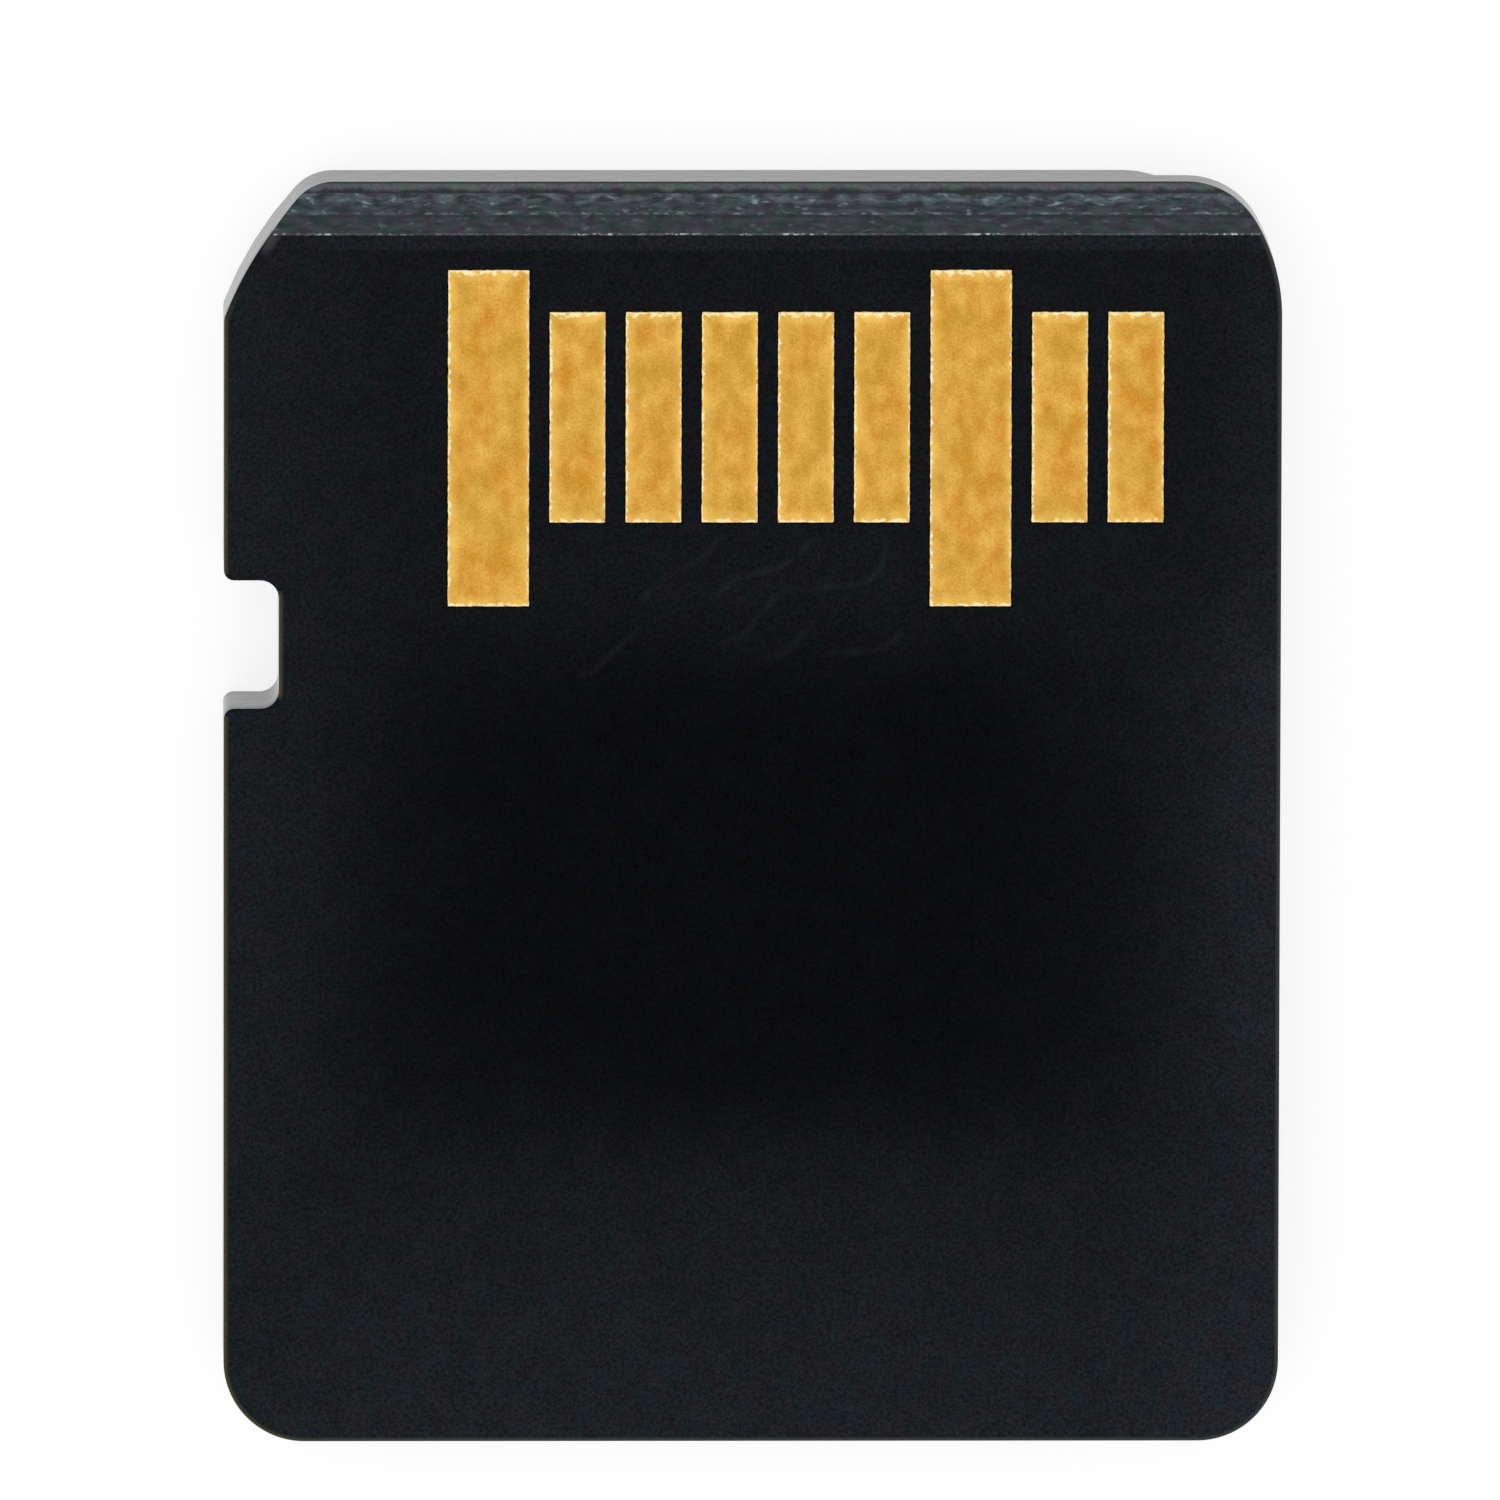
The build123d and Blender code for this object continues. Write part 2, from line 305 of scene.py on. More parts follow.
def glassLaminate():
    look, tone = laminateLook, tones(laminateLook)
    material, tree, shader, place = newMaterial("glass_epoxy_laminate_ground")
    across, _, up = addNode(tree, "ShaderNodeSeparateXYZ", [place]).node.outputs
    depth = addNode(tree, "ShaderNodeMath", [cardHeight, up], operation="SUBTRACT")
    # the yarns rise and fall over each other
    stretch = (1 / look["waveMm"], look["waveDrift"], 0)
    wave = addNode(tree, "ShaderNodeVectorMath", [place, stretch], operation="MULTIPLY")
    wave = addNode(tree, "ShaderNodeTexNoise", {"Vector": wave, "Scale": 1.0, "Detail": 1.0})
    wave = addNode(tree, "ShaderNodeMath", [wave, 0.5], operation="SUBTRACT")
    woven = addNode(
        tree, "ShaderNodeMath", [wave, 2 * look["waveHeightMm"], depth], operation="MULTIPLY_ADD",
    )
    wovenPlace = addNode(tree, "ShaderNodeCombineXYZ", {0: across, 2: woven})
    tint, streak, glint = (
        addNode(tree, "ShaderNodeVectorMath", [wovenPlace, (1 / long, 0, 1 / thin)], operation="MULTIPLY")
        for long, thin in (look["tintMm"], look["streakMm"], look["glintMm"])
    )
    tint = addNode(tree, "ShaderNodeTexNoise", {"Vector": tint, "Scale": 1.0, "Detail": 2.0})
    tint = addNode(tree, "ShaderNodeMapRange", [tint, *look["tintSpan"]])
    colour = addNode(tree, "ShaderNodeMix", {0: tint, 6: tone["green"], 7: tone["mauve"]}, data_type="RGBA")
    core = addNode(tree, "ShaderNodeMapRange", [depth, *look["coreDepthMm"]])
    # fibres that run with the edge, strongest in the warp
    streak = addNode(tree, "ShaderNodeTexNoise", {
        "Vector": streak, "Scale": 1.0, "Detail": 5.0, "Roughness": 0.6,
    })
    streak = addNode(tree, "ShaderNodeMapRange", [streak, *look["streakSpan"]])
    offWarp = addNode(tree, "ShaderNodeMath", [woven, look["warpDepthMm"]], operation="SUBTRACT")
    offWarp = addNode(tree, "ShaderNodeMath", [offWarp], operation="ABSOLUTE")
    warp = addNode(tree, "ShaderNodeMapRange", [offWarp, *look["warpHalfMm"], 1.0, look["offWarpShare"]])
    share = addNode(tree, "ShaderNodeMapRange", [core, 0.0, 1.0, *look["streakShare"]])
    for level in (warp, share):
        streak = addNode(tree, "ShaderNodeMath", [streak, level], operation="MULTIPLY")
    colour = addNode(tree, "ShaderNodeMix", {0: streak, 6: colour, 7: tone["fibre"]}, data_type="RGBA")
    # glints from bundles of cut fibres, mostly in the core
    glint = addNode(tree, "ShaderNodeVectorMath", [glint, look["glintShift"]], operation="ADD")
    glint = addNode(tree, "ShaderNodeTexNoise", {"Vector": glint, "Scale": 1.0, "Detail": 3.0})
    glint = addNode(tree, "ShaderNodeMapRange", [glint, *look["glintSpan"]])
    share = addNode(tree, "ShaderNodeMapRange", [core, 0.0, 1.0, *look["glintShare"]])
    glint = addNode(tree, "ShaderNodeMath", [glint, share], operation="MULTIPLY")
    colour = addNode(tree, "ShaderNodeMix", {0: glint, 6: colour, 7: tone["glint"]}, data_type="RGBA")
    # seam between the core and the outer ply: a thin dark line with a broken pale one under it
    offSeam = addNode(tree, "ShaderNodeMath", [depth, look["seamDepthMm"]], operation="SUBTRACT")
    dark = addNode(tree, "ShaderNodeMath", [offSeam, look["darkAboveMm"]], operation="ADD")
    dark = addNode(tree, "ShaderNodeMath", [dark], operation="ABSOLUTE")
    dark = addNode(tree, "ShaderNodeMapRange", [dark, *look["darkHalfMm"], look["darkLevel"], 1.0])
    colour = addNode(tree, "ShaderNodeVectorMath", {0: colour, "Scale": dark}, operation="SCALE")
    seam = addNode(tree, "ShaderNodeMath", [offSeam], operation="ABSOLUTE")
    seam = addNode(tree, "ShaderNodeMapRange", [seam, *look["seamHalfMm"], look["seamShare"], 0.0])
    broken, chips, runs = (
        addNode(tree, "ShaderNodeTexNoise", {"Vector": place, "Scale": 1 / look[size], "Detail": detail})
        for size, detail in (("seamBreakMm", 3.0), ("chipMm", 1.0), ("runMm", 1.0))
    )
    broken = addNode(tree, "ShaderNodeMapRange", [broken, *look["seamBreakSpan"]])
    seam = addNode(tree, "ShaderNodeMath", [seam, broken], operation="MULTIPLY")
    colour = addNode(tree, "ShaderNodeMix", {0: seam, 6: colour, 7: tone["glint"]}, data_type="RGBA")
    # bright chips of glass where the slope meets the face
    rim = addNode(tree, "ShaderNodeMapRange", [depth, *look["chipDepthMm"], 1.0, 0.0])
    chips = addNode(tree, "ShaderNodeMapRange", [chips, *look["chipSpan"]])
    runs = addNode(tree, "ShaderNodeMapRange", [runs, *look["runSpan"], *look["runShare"]])
    chips = addNode(tree, "ShaderNodeMath", [chips, runs], operation="MULTIPLY")
    chips = addNode(tree, "ShaderNodeMapRange", [chips, 0.0, 1.0, look["lineShare"], 1.0])
    rim = addNode(tree, "ShaderNodeMath", [rim, chips], operation="MULTIPLY")
    colour = addNode(tree, "ShaderNodeMix", {0: rim, 6: colour, 7: tone["chip"]}, data_type="RGBA")
    strength, deep = look["bump"]
    bump = addNode(tree, "ShaderNodeBump", {"Strength": strength, "Distance": deep * mm, "Height": streak})
    setInputs(tree, shader, {
        "Base Color": colour, "Normal": bump,
        "Roughness": look["roughness"], "Specular IOR Level": look["specular"],
    })
    return material


# Epoxy moulding compound: black resin full of fine silica. The label side keeps the satin grain of its mould,
# the sawn walls are smoother and turn pale where they are seen at a low angle, and the ground slope is a dull
# grey. The cut edge of the board is sawn with the walls, so it shares their finish in its own tints
resinLook = {
    "body": "#161719",
    "silica": "#2E2F31",
    "silicaMm": 0.05,
    "silicaSpan": (0.45, 0.8),
    "tintSpan": (0.42, 0.58),
    "labelRoughness": (0.38, 0.52),
    "labelBump": (0.35, 0.008),
    "wallGreen": "#29363C",
    "wallMauve": "#36323D",
    "wallRoughness": (0.01, 0.07),
    "laminateGreen": "#2B3833",   # cut edge of the board
    "laminateMauve": "#313435",
    "laminateRoughness": (0.04, 0.14),
    "wallTintMm": 0.26,
    "wallWaveMm": 0.006,
    "waveSpan": (0.4, 0.6),
    "wallBump": (0.15, 0.004),
    "joint": "#1A1D20",           # where the resin meets the board
    "jointMm": (0.005, 0.014),
    "burrHighlight": "#E0DEC8",            # painted highlight on the torn resin along the edge of the slope
    "burrHighlightMm": 0.060,
    "slopeGreen": "#52645D",
    "slopeMauve": "#5F5964",
    "slopeTintMm": 0.19,
    "slopeDark": "#25272B",       # band just under the board
    "slopeDarkMm": (0.065, 0.100),
    "slopeWaveMm": 0.24,
    "slopeWaveHeightMm": 0.10,
    "slopeWaveDrift": 0.3,
    "slopeOlive": "#2B2D20",      # line along the foot of the slope
    "slopeOliveMm": (0.022, 0.008),
    "slopeGrainMm": 0.035,
    "slopeGrainSpan": (0.3, 0.75),
    "slopeGrit": (0.75, 1.4),
    "slopeBump": (0.25, 0.004),
    "slopeRoughness": 0.5,
    "slopeSpecular": 0.35,
    "ior": 1.55,
}


def mouldedResin():
    look, tone = resinLook, tones(resinLook)
    material, tree, shader, place = newMaterial("epoxy_compound_moulded_satin")
    grain = addNode(tree, "ShaderNodeTexNoise", {
        "Vector": place, "Scale": 1 / look["silicaMm"], "Detail": 3.0,
    })
    fleck = addNode(tree, "ShaderNodeMapRange", [grain, *look["silicaSpan"]])
    colour = addNode(tree, "ShaderNodeMix", {0: fleck, 6: tone["body"], 7: tone["silica"]}, data_type="RGBA")
    roughness = addNode(tree, "ShaderNodeMapRange", [grain, *grainSpan, *look["labelRoughness"]])
    strength, deep = look["labelBump"]
    bump = addNode(tree, "ShaderNodeBump", {"Strength": strength, "Distance": deep * mm, "Height": grain})
    setInputs(tree, shader, {
        "Base Color": colour, "Roughness": roughness, "Normal": bump, "IOR": look["ior"],
    })
    return material


def sawnWall(name, tints, roughness):
    # tints and roughness are keys of the look, for the resin or for the board
    look, tone = resinLook, tones(resinLook)
    material, tree, shader, place = newMaterial(name)
    grain, waves = (
        addNode(tree, "ShaderNodeTexNoise", {"Vector": place, "Scale": 1 / look[size], "Detail": detail})
        for size, detail in (("silicaMm", 3.0), ("wallTintMm", 2.0))
    )
    tint = addNode(tree, "ShaderNodeMapRange", [waves, *look["tintSpan"]])
    colour = addNode(tree, "ShaderNodeMix", {
        0: tint, 6: tone[tints[0]], 7: tone[tints[1]],
    }, data_type="RGBA")
    # thin dark joint between board and resin
    up = addNode(tree, "ShaderNodeSeparateXYZ", [place]).node.outputs["Z"]
    offJoint = addNode(tree, "ShaderNodeMath", [up, boardBottom], operation="SUBTRACT")
    offJoint = addNode(tree, "ShaderNodeMath", [offJoint], operation="ABSOLUTE")
    joint = addNode(tree, "ShaderNodeMapRange", [offJoint, *look["jointMm"], 1.0, 0.0])
    colour = addNode(tree, "ShaderNodeMix", {0: joint, 6: colour, 7: tone["joint"]}, data_type="RGBA")
    # painted highlight on the torn edge just below the ground slope
    below = addNode(tree, "ShaderNodeVectorMath", [place, (0, -bevelTop, -cardHeight)], operation="ADD")
    below = addNode(tree, "ShaderNodeVectorMath", [below, tuple(slopeNormal)], operation="DOT_PRODUCT")
    below = below.node.outputs["Value"]
    burrHighlight = addNode(tree, "ShaderNodeMapRange", [below, -look["burrHighlightMm"], 0.0])
    burrHighlight = addNode(tree, "ShaderNodeMath", [burrHighlight, grain], operation="MULTIPLY")
    colour = addNode(tree, "ShaderNodeMix", {0: burrHighlight, 6: colour, 7: tone["burrHighlight"]}, data_type="RGBA")
    gloss = addNode(tree, "ShaderNodeMapRange", [waves, *look["waveSpan"], *look[roughness]])
    strength, deep = look["wallBump"]
    bump = addNode(tree, "ShaderNodeBump", {"Strength": strength, "Distance": deep * mm, "Height": grain})
    bump = addNode(tree, "ShaderNodeBump", {
        "Strength": 1.0, "Distance": look["wallWaveMm"] * mm, "Height": waves, "Normal": bump,
    })
    setInputs(tree, shader, {
        "Base Color": colour, "Roughness": gloss, "Normal": bump, "IOR": look["ior"],
    })
    return material


def resinSlope():
    look, tone = resinLook, tones(resinLook)
    material, tree, shader, place = newMaterial("epoxy_compound_ground_slope")
    up = addNode(tree, "ShaderNodeSeparateXYZ", [place]).node.outputs["Z"]
    depth = addNode(tree, "ShaderNodeMath", [cardHeight, up], operation="SUBTRACT")
    tint, grain = (
        addNode(tree, "ShaderNodeTexNoise", {"Vector": place, "Scale": 1 / look[size], "Detail": detail})
        for size, detail in (("slopeTintMm", 3.0), ("slopeGrainMm", 2.0))
    )
    tint = addNode(tree, "ShaderNodeMapRange", [tint, *look["tintSpan"]])
    colour = addNode(tree, "ShaderNodeMix", {
        0: tint, 6: tone["slopeGreen"], 7: tone["slopeMauve"],
    }, data_type="RGBA")
    # a wavy dark band where the resin meets the board
    stretch = (1 / look["slopeWaveMm"], look["slopeWaveDrift"], 0)
    wave = addNode(tree, "ShaderNodeVectorMath", [place, stretch], operation="MULTIPLY")
    wave = addNode(tree, "ShaderNodeTexNoise", {"Vector": wave, "Scale": 1.0, "Detail": 2.0})
    wave = addNode(
        tree, "ShaderNodeMath", [wave, look["slopeWaveHeightMm"], depth], operation="MULTIPLY_ADD",
    )
    boardDepth = cardHeight - boardBottom
    band = addNode(tree, "ShaderNodeMapRange", [wave, *(boardDepth + more for more in look["slopeDarkMm"])])
    colour = addNode(tree, "ShaderNodeMix", {0: band, 6: tone["slopeDark"], 7: colour}, data_type="RGBA")
    foot = plan["bevelDepth"]
    edge = addNode(tree, "ShaderNodeMapRange", [depth, *(foot - less for less in look["slopeOliveMm"])])
    colour = addNode(tree, "ShaderNodeMix", {0: edge, 6: colour, 7: tone["slopeOlive"]}, data_type="RGBA")
    grit = addNode(tree, "ShaderNodeMapRange", [grain, *look["slopeGrainSpan"], *look["slopeGrit"]])
    colour = addNode(tree, "ShaderNodeVectorMath", {0: colour, "Scale": grit}, operation="SCALE")
    strength, deep = look["slopeBump"]
    bump = addNode(tree, "ShaderNodeBump", {"Strength": strength, "Distance": deep * mm, "Height": grain})
    setInputs(tree, shader, {
        "Base Color": colour, "Normal": bump,
        "Roughness": look["slopeRoughness"], "Specular IOR Level": look["slopeSpecular"],
    })
    return material


# Gold plated over nickel on copper: satin, softly blotched from olive to orange gold, with a fine grain, and
# a painted highlight that glows towards the edges and makes a broken bright rim
goldLook = {
    "olive": "#CB9A3A",
    "orange": "#D08F32",
    "warmMm": (0.50, 0.64),     # across and along the way the card slides
    "warmSpan": (0.38, 0.62),
    "pale": "#E6B555",
    "blotchMm": (0.24, 0.32),
    "blotchSpan": (0.38, 0.72),
    "grainMm": 0.028,           # plating is finer, drawn coarser to show
    "grit": (0.80, 1.20),
    "glow": "#FCD272",          # painted highlight towards the edges
    "edgeHighlightMm": 0.20,
    "edgeHighlightPower": 2.0,
    "edgeHighlightShare": (0.45, 1.0),
    # painted highlight along the rim
    "rim": "#FFECB2",
    "rimHighlightMm": (0.010, 0.050),
    "rimHighlightSoftMm": 0.020,
    "raggedMm": 0.06,
    "raggedSpan": (0.36, 0.66),
    "roughness": (0.34, 0.46),
    "bump": (0.3, 0.003),
}


def platedGold():
    look, tone = goldLook, tones(goldLook)
    material, tree, shader, place = newMaterial("gold_plate_over_nickel_satin")
    patches = []
    for name in ("warm", "blotch"):
        across, along = look[name + "Mm"]
        patch = addNode(tree, "ShaderNodeVectorMath", [place, (1 / across, 1 / along, 0)], operation="MULTIPLY")
        patch = addNode(tree, "ShaderNodeTexNoise", {"Vector": patch, "Scale": 1.0, "Detail": 6.0})
        patches.append(addNode(tree, "ShaderNodeMapRange", [patch, *look[name + "Span"]]))
    warm, blotch = patches
    grain, ragged = (
        addNode(tree, "ShaderNodeTexNoise", {"Vector": place, "Scale": 1 / look[size], "Detail": 2.0})
        for size in ("grainMm", "raggedMm")
    )
    colour = addNode(tree, "ShaderNodeMix", {0: warm, 6: tone["olive"], 7: tone["orange"]}, data_type="RGBA")
    colour = addNode(tree, "ShaderNodeMix", {0: blotch, 6: colour, 7: tone["pale"]}, data_type="RGBA")
    grit = addNode(tree, "ShaderNodeMapRange", [grain, *grainSpan, *look["grit"]])
    colour = addNode(tree, "ShaderNodeVectorMath", {0: colour, "Scale": grit}, operation="SCALE")
    # painted highlight glowing towards the edge, strongest where the blotches are pale
    fromEdge = addNode(tree, "ShaderNodeAttribute", attribute_name="fromEdge").node.outputs["Fac"]
    glow = addNode(tree, "ShaderNodeMapRange", [fromEdge, 0.0, look["edgeHighlightMm"], 1.0, 0.0])
    glow = addNode(tree, "ShaderNodeMath", [glow, look["edgeHighlightPower"]], operation="POWER")
    uneven = addNode(tree, "ShaderNodeMapRange", [blotch, 0.0, 1.0, *look["edgeHighlightShare"]])
    glow = addNode(tree, "ShaderNodeMath", [glow, uneven], operation="MULTIPLY")
    colour = addNode(tree, "ShaderNodeMix", {0: glow, 6: colour, 7: tone["glow"]}, data_type="RGBA")
    # painted highlight along the rim, of uneven width
    reach = addNode(tree, "ShaderNodeMapRange", [ragged, *look["raggedSpan"], *look["rimHighlightMm"]])
    rim = addNode(tree, "ShaderNodeMath", [reach, fromEdge], operation="SUBTRACT")
    rim = addNode(tree, "ShaderNodeMapRange", [rim, 0.0, look["rimHighlightSoftMm"]])
    colour = addNode(tree, "ShaderNodeMix", {0: rim, 6: colour, 7: tone["rim"]}, data_type="RGBA")
    roughness = addNode(tree, "ShaderNodeMapRange", [grain, *grainSpan, *look["roughness"]])
    strength, deep = look["bump"]
    bump = addNode(tree, "ShaderNodeBump", {"Strength": strength, "Distance": deep * mm, "Height": grain})
    setInputs(tree, shader, {
        "Base Color": colour, "Roughness": roughness, "Normal": bump, "Metallic": 1.0,
    })
    return material


# Pieces sealed inside: dies cut from a polished wafer, dull cured film, fired ceramic with tinned ends, drawn
# wire. Their grain is drawn coarser than the real one
innerLooks = {
    "silicon_wafer_polished": {
        "nodes": ("flash_die_", "controller_die"),
        "colours": ("#3A3B40", "#46474D"),
        "grainMm": 0.4,
        "roughness": (0.12, 0.20),
        "metallic": 0.0,
        "ior": 3.9,
    },
    "adhesive_film_cured": {
        "nodes": ("die_attach_film_", "controller_attach_film"),
        "colours": ("#B9AE90", "#CCC3A8"),
        "grainMm": 0.05,
        "roughness": (0.55, 0.70),
        "metallic": 0.0,
        "ior": 1.5,
    },
    "ceramic_fired_tinned": {
        "nodes": ("ceramic_capacitor_",),
        "colours": ("#7C5C40", "#8C6A4A"),
        "grainMm": 0.03,
        "roughness": (0.40, 0.60),
        "metallic": 0.0,
        "ior": 1.8,
        "tin": "#C9C9C4",
        "tinShare": 0.22,  # of the length, at each end
    },
    "gold_wire_drawn": {
        "nodes": ("flash_bond_wires_", "controller_bond_wires"),
        "colours": ("#D9A441", "#E6B95A"),
        "grainMm": 0.02,
        "roughness": (0.18, 0.28),
        "metallic": 1.0,
        "ior": 1.5,
    },
}


def innerFinish(name, look):
    material, tree, shader, place = newMaterial(name)
    grain = addNode(tree, "ShaderNodeTexNoise", {
        "Vector": place, "Scale": 1 / look["grainMm"], "Detail": 3.0,
    })
    dark, light = (hexToLinear(colour) for colour in look["colours"])
    colour = addNode(tree, "ShaderNodeMix", {0: grain, 6: dark, 7: light}, data_type="RGBA")
    metallic = look["metallic"]
    if "tin" in look:
        share = addNode(tree, "ShaderNodeTexCoord").node.outputs["Generated"]
        share = addNode(tree, "ShaderNodeSeparateXYZ", [share]).node.outputs["Y"]
        share = addNode(tree, "ShaderNodeMath", [share, 0.5], operation="SUBTRACT")
        share = addNode(tree, "ShaderNodeMath", [share], operation="ABSOLUTE")
        metallic = addNode(tree, "ShaderNodeMath", [share, 0.5 - look["tinShare"]], operation="GREATER_THAN")
        tin = hexToLinear(look["tin"])
        colour = addNode(tree, "ShaderNodeMix", {0: metallic, 6: colour, 7: tin}, data_type="RGBA")
    roughness = addNode(tree, "ShaderNodeMapRange", [grain, *grainSpan, *look["roughness"]])
    setInputs(tree, shader, {
        "Base Color": colour, "Roughness": roughness, "Metallic": metallic, "IOR": look["ior"],
    })
    for node in sorted(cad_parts):
        if node.startswith(look["nodes"]):
            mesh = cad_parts[node].data
            mesh.materials.clear()
            mesh.materials.append(material)


def walk(start, heading, moves):
    # moves are (length,) for a straight run and (radius, turn) for an arc, left turns positive
    points = [Vector(start)]
    angle = math.radians(heading)
    for move in moves:
        here = points[-1]
        if len(move) == 1:
            points.append(here + move[0] * Vector((math.cos(angle), math.sin(angle))))
            continue
        radius, turn = move[0], math.radians(move[1])
        side = 1 if turn > 0 else -1
        centre = here + side * radius * Vector((-math.sin(angle), math.cos(angle)))
        steps = max(plan["arcChords"], math.ceil(abs(turn) * radius / plan["arcStep"]))
        for k in range(1, steps + 1):
            a = angle + turn * k / steps
            points.append(centre + side * radius * Vector((math.sin(a), -math.cos(a))))
        angle += turn
    return points


def keySideChain():
    # from the lead end, round the key corner and the latch notch, to the rear end
    turnIn = math.radians(plan["keyTurnIn"])
    bow = math.radians(plan["keyTurnIn"] + plan["keyBowTurn"])
    blend, bowRadius, foot = plan["keyBlendRadius"], plan["keyBowRadius"], plan["keyFootRadius"]
    keyWidth = blend * math.sin(turnIn) + bowRadius * (math.sin(bow) - math.sin(turnIn))
    keyWidth += foot * (1 - math.sin(bow))
    keyDepth = blend * (1 - math.cos(turnIn)) + bowRadius * (math.cos(turnIn) - math.cos(bow))
    keyDepth += foot * math.cos(bow)
    mouth, root = plan["notchMouthRadius"], plan["notchRootRadius"]
    notchRear = plan["notchFromLead"] + plan["notchLength"]
    rear = plan["rearCornerRadius"]
    return walk((seamX, halfLength), 180, [
        (seamX + halfWidth - keyWidth,),
        (blend, plan["keyTurnIn"]),
        (bowRadius, plan["keyBowTurn"]),
        (foot, 90 - plan["keyTurnIn"] - plan["keyBowTurn"]),
        (plan["notchFromLead"] - mouth - keyDepth,),
        (mouth, 90),
        (plan["notchDepth"] - mouth - root,),
        (root, -90),
        (plan["notchLength"] - 2 * root,),
        (root, -90),
        (plan["notchDepth"] - mouth - root,),
        (mouth, 90),
        (2 * halfLength - notchRear - mouth - rear,),
        (rear, 90),
        (halfWidth + seamX - rear,),
    ])


def railSideChain():
    # from the rear end to the lead end, along the rail
    rear, leadIn, lead = plan["rearCornerRadius"], plan["leadInRadius"], plan["leadCornerRadius"]
    turn = math.radians(plan["leadInTurn"])
    leadDepth = leadIn * math.sin(turn) + lead * (1 - math.sin(turn))
    leadWidth = leadIn * (1 - math.cos(turn)) + lead * math.cos(turn)
    return walk((seamX, -halfLength), 0, [
        (halfWidth - seamX - rear,),
        (rear, 90),
        (2 * halfLength - rear - leadDepth,),
        (leadIn, plan["leadInTurn"]),
        (lead, 90 - plan["leadInTurn"]),
        (halfWidth - leadWidth - seamX,),
    ])


def mitres(ring):
    # inward direction at each point, as long as the mitre of its two edges
    made = []
    for k, point in enumerate(ring):
        before = (point - ring[k - 1]).normalized()
        after = (ring[(k + 1) % len(ring)] - point).normalized()
        side = Vector((-before.y, before.x))
        inward = (side + Vector((-after.y, after.x))).normalized()
        made.append(inward / max(0.5, inward.dot(side)))  # a mitre is at most twice the inset
    return made


def insetRing(ring, amount):
    return [point + mitre * amount for point, mitre in zip(ring, mitres(ring))]


def newBmesh():
    bm = bmesh.new()
    bm.verts.layers.float.new("fromEdge")  # distance from the piece's edge, for the pale edge lines and the painted highlights on ridges and pad rims
    return bm


def addRing(bm, ring, height, fromEdge=0.0):
    made = [bm.verts.new((p.x * mm, p.y * mm, height * mm)) for p in ring]
    layer = bm.verts.layers.float["fromEdge"]
    distances = fromEdge if isinstance(fromEdge, list) else [fromEdge] * len(ring)
    for vert, distance in zip(made, distances):
        vert[layer] = distance
    return made


def bridgeRings(bm, low, high):
    return [bm.faces.new((low[k - 1], low[k], high[k], high[k - 1])) for k in range(len(low))]


def fillRings(bm, rings, flip=False):
    # flat fill of the first ring, with the others as holes
    flat = [v for ring in rings for v in ring]
    made = []
    for a, b, c in tessellate_polygon([[v.co for v in ring] for ring in rings]):
        made.append(bm.faces.new((flat[c], flat[b], flat[a]) if flip else (flat[a], flat[b], flat[c])))
    return made


def boxCorners(low, high, inset):
    # the four corners of a node's box in plan, in millimetres, moved in by the inset
    x0, y0 = low[0] / mm + inset, low[1] / mm + inset
    x1, y1 = high[0] / mm - inset, high[1] / mm - inset
    return [Vector((x0, y0)), Vector((x1, y0)), Vector((x1, y1)), Vector((x0, y1))]


def cutLeadBevel(bm, finish):
    # slices the lead edge off along the ground slope and closes the cut with one face
    corner = Vector((0, bevelTop, cardHeight)) * mm
    tolerance = 1e-8  # metres
    everything = bm.verts[:] + bm.edges[:] + bm.faces[:]
    cut = bmesh.ops.bisect_plane(
        bm, geom=everything, dist=tolerance, plane_co=corner, plane_no=slopeNormal, clear_outer=True,
    )
    edges = [e for e in cut["geom_cut"] if isinstance(e, bmesh.types.BMEdge)]
    made = bmesh.ops.contextual_create(bm, geom=edges)
    for face in made["faces"]:
        face.material_index = finish


def finishMesh(bm, name):
    bmesh.ops.recalc_face_normals(bm, faces=bm.faces[:])
    mesh = bpy.data.meshes.new(name)
    bm.to_mesh(mesh)
    bm.free()
    return mesh


creaseAngle = math.radians(32)  # edges that turn more than this stay crisp


def makePiece(name, mesh, node, materials):
    piece = bpy.data.objects.new(name, mesh)
    bpy.context.scene.collection.objects.link(piece)
    for material in materials:
        mesh.materials.append(material)
    mesh.shade_smooth()
    mesh.set_sharp_from_angle(angle=creaseAngle)
    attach(piece, "root")
    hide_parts(node)


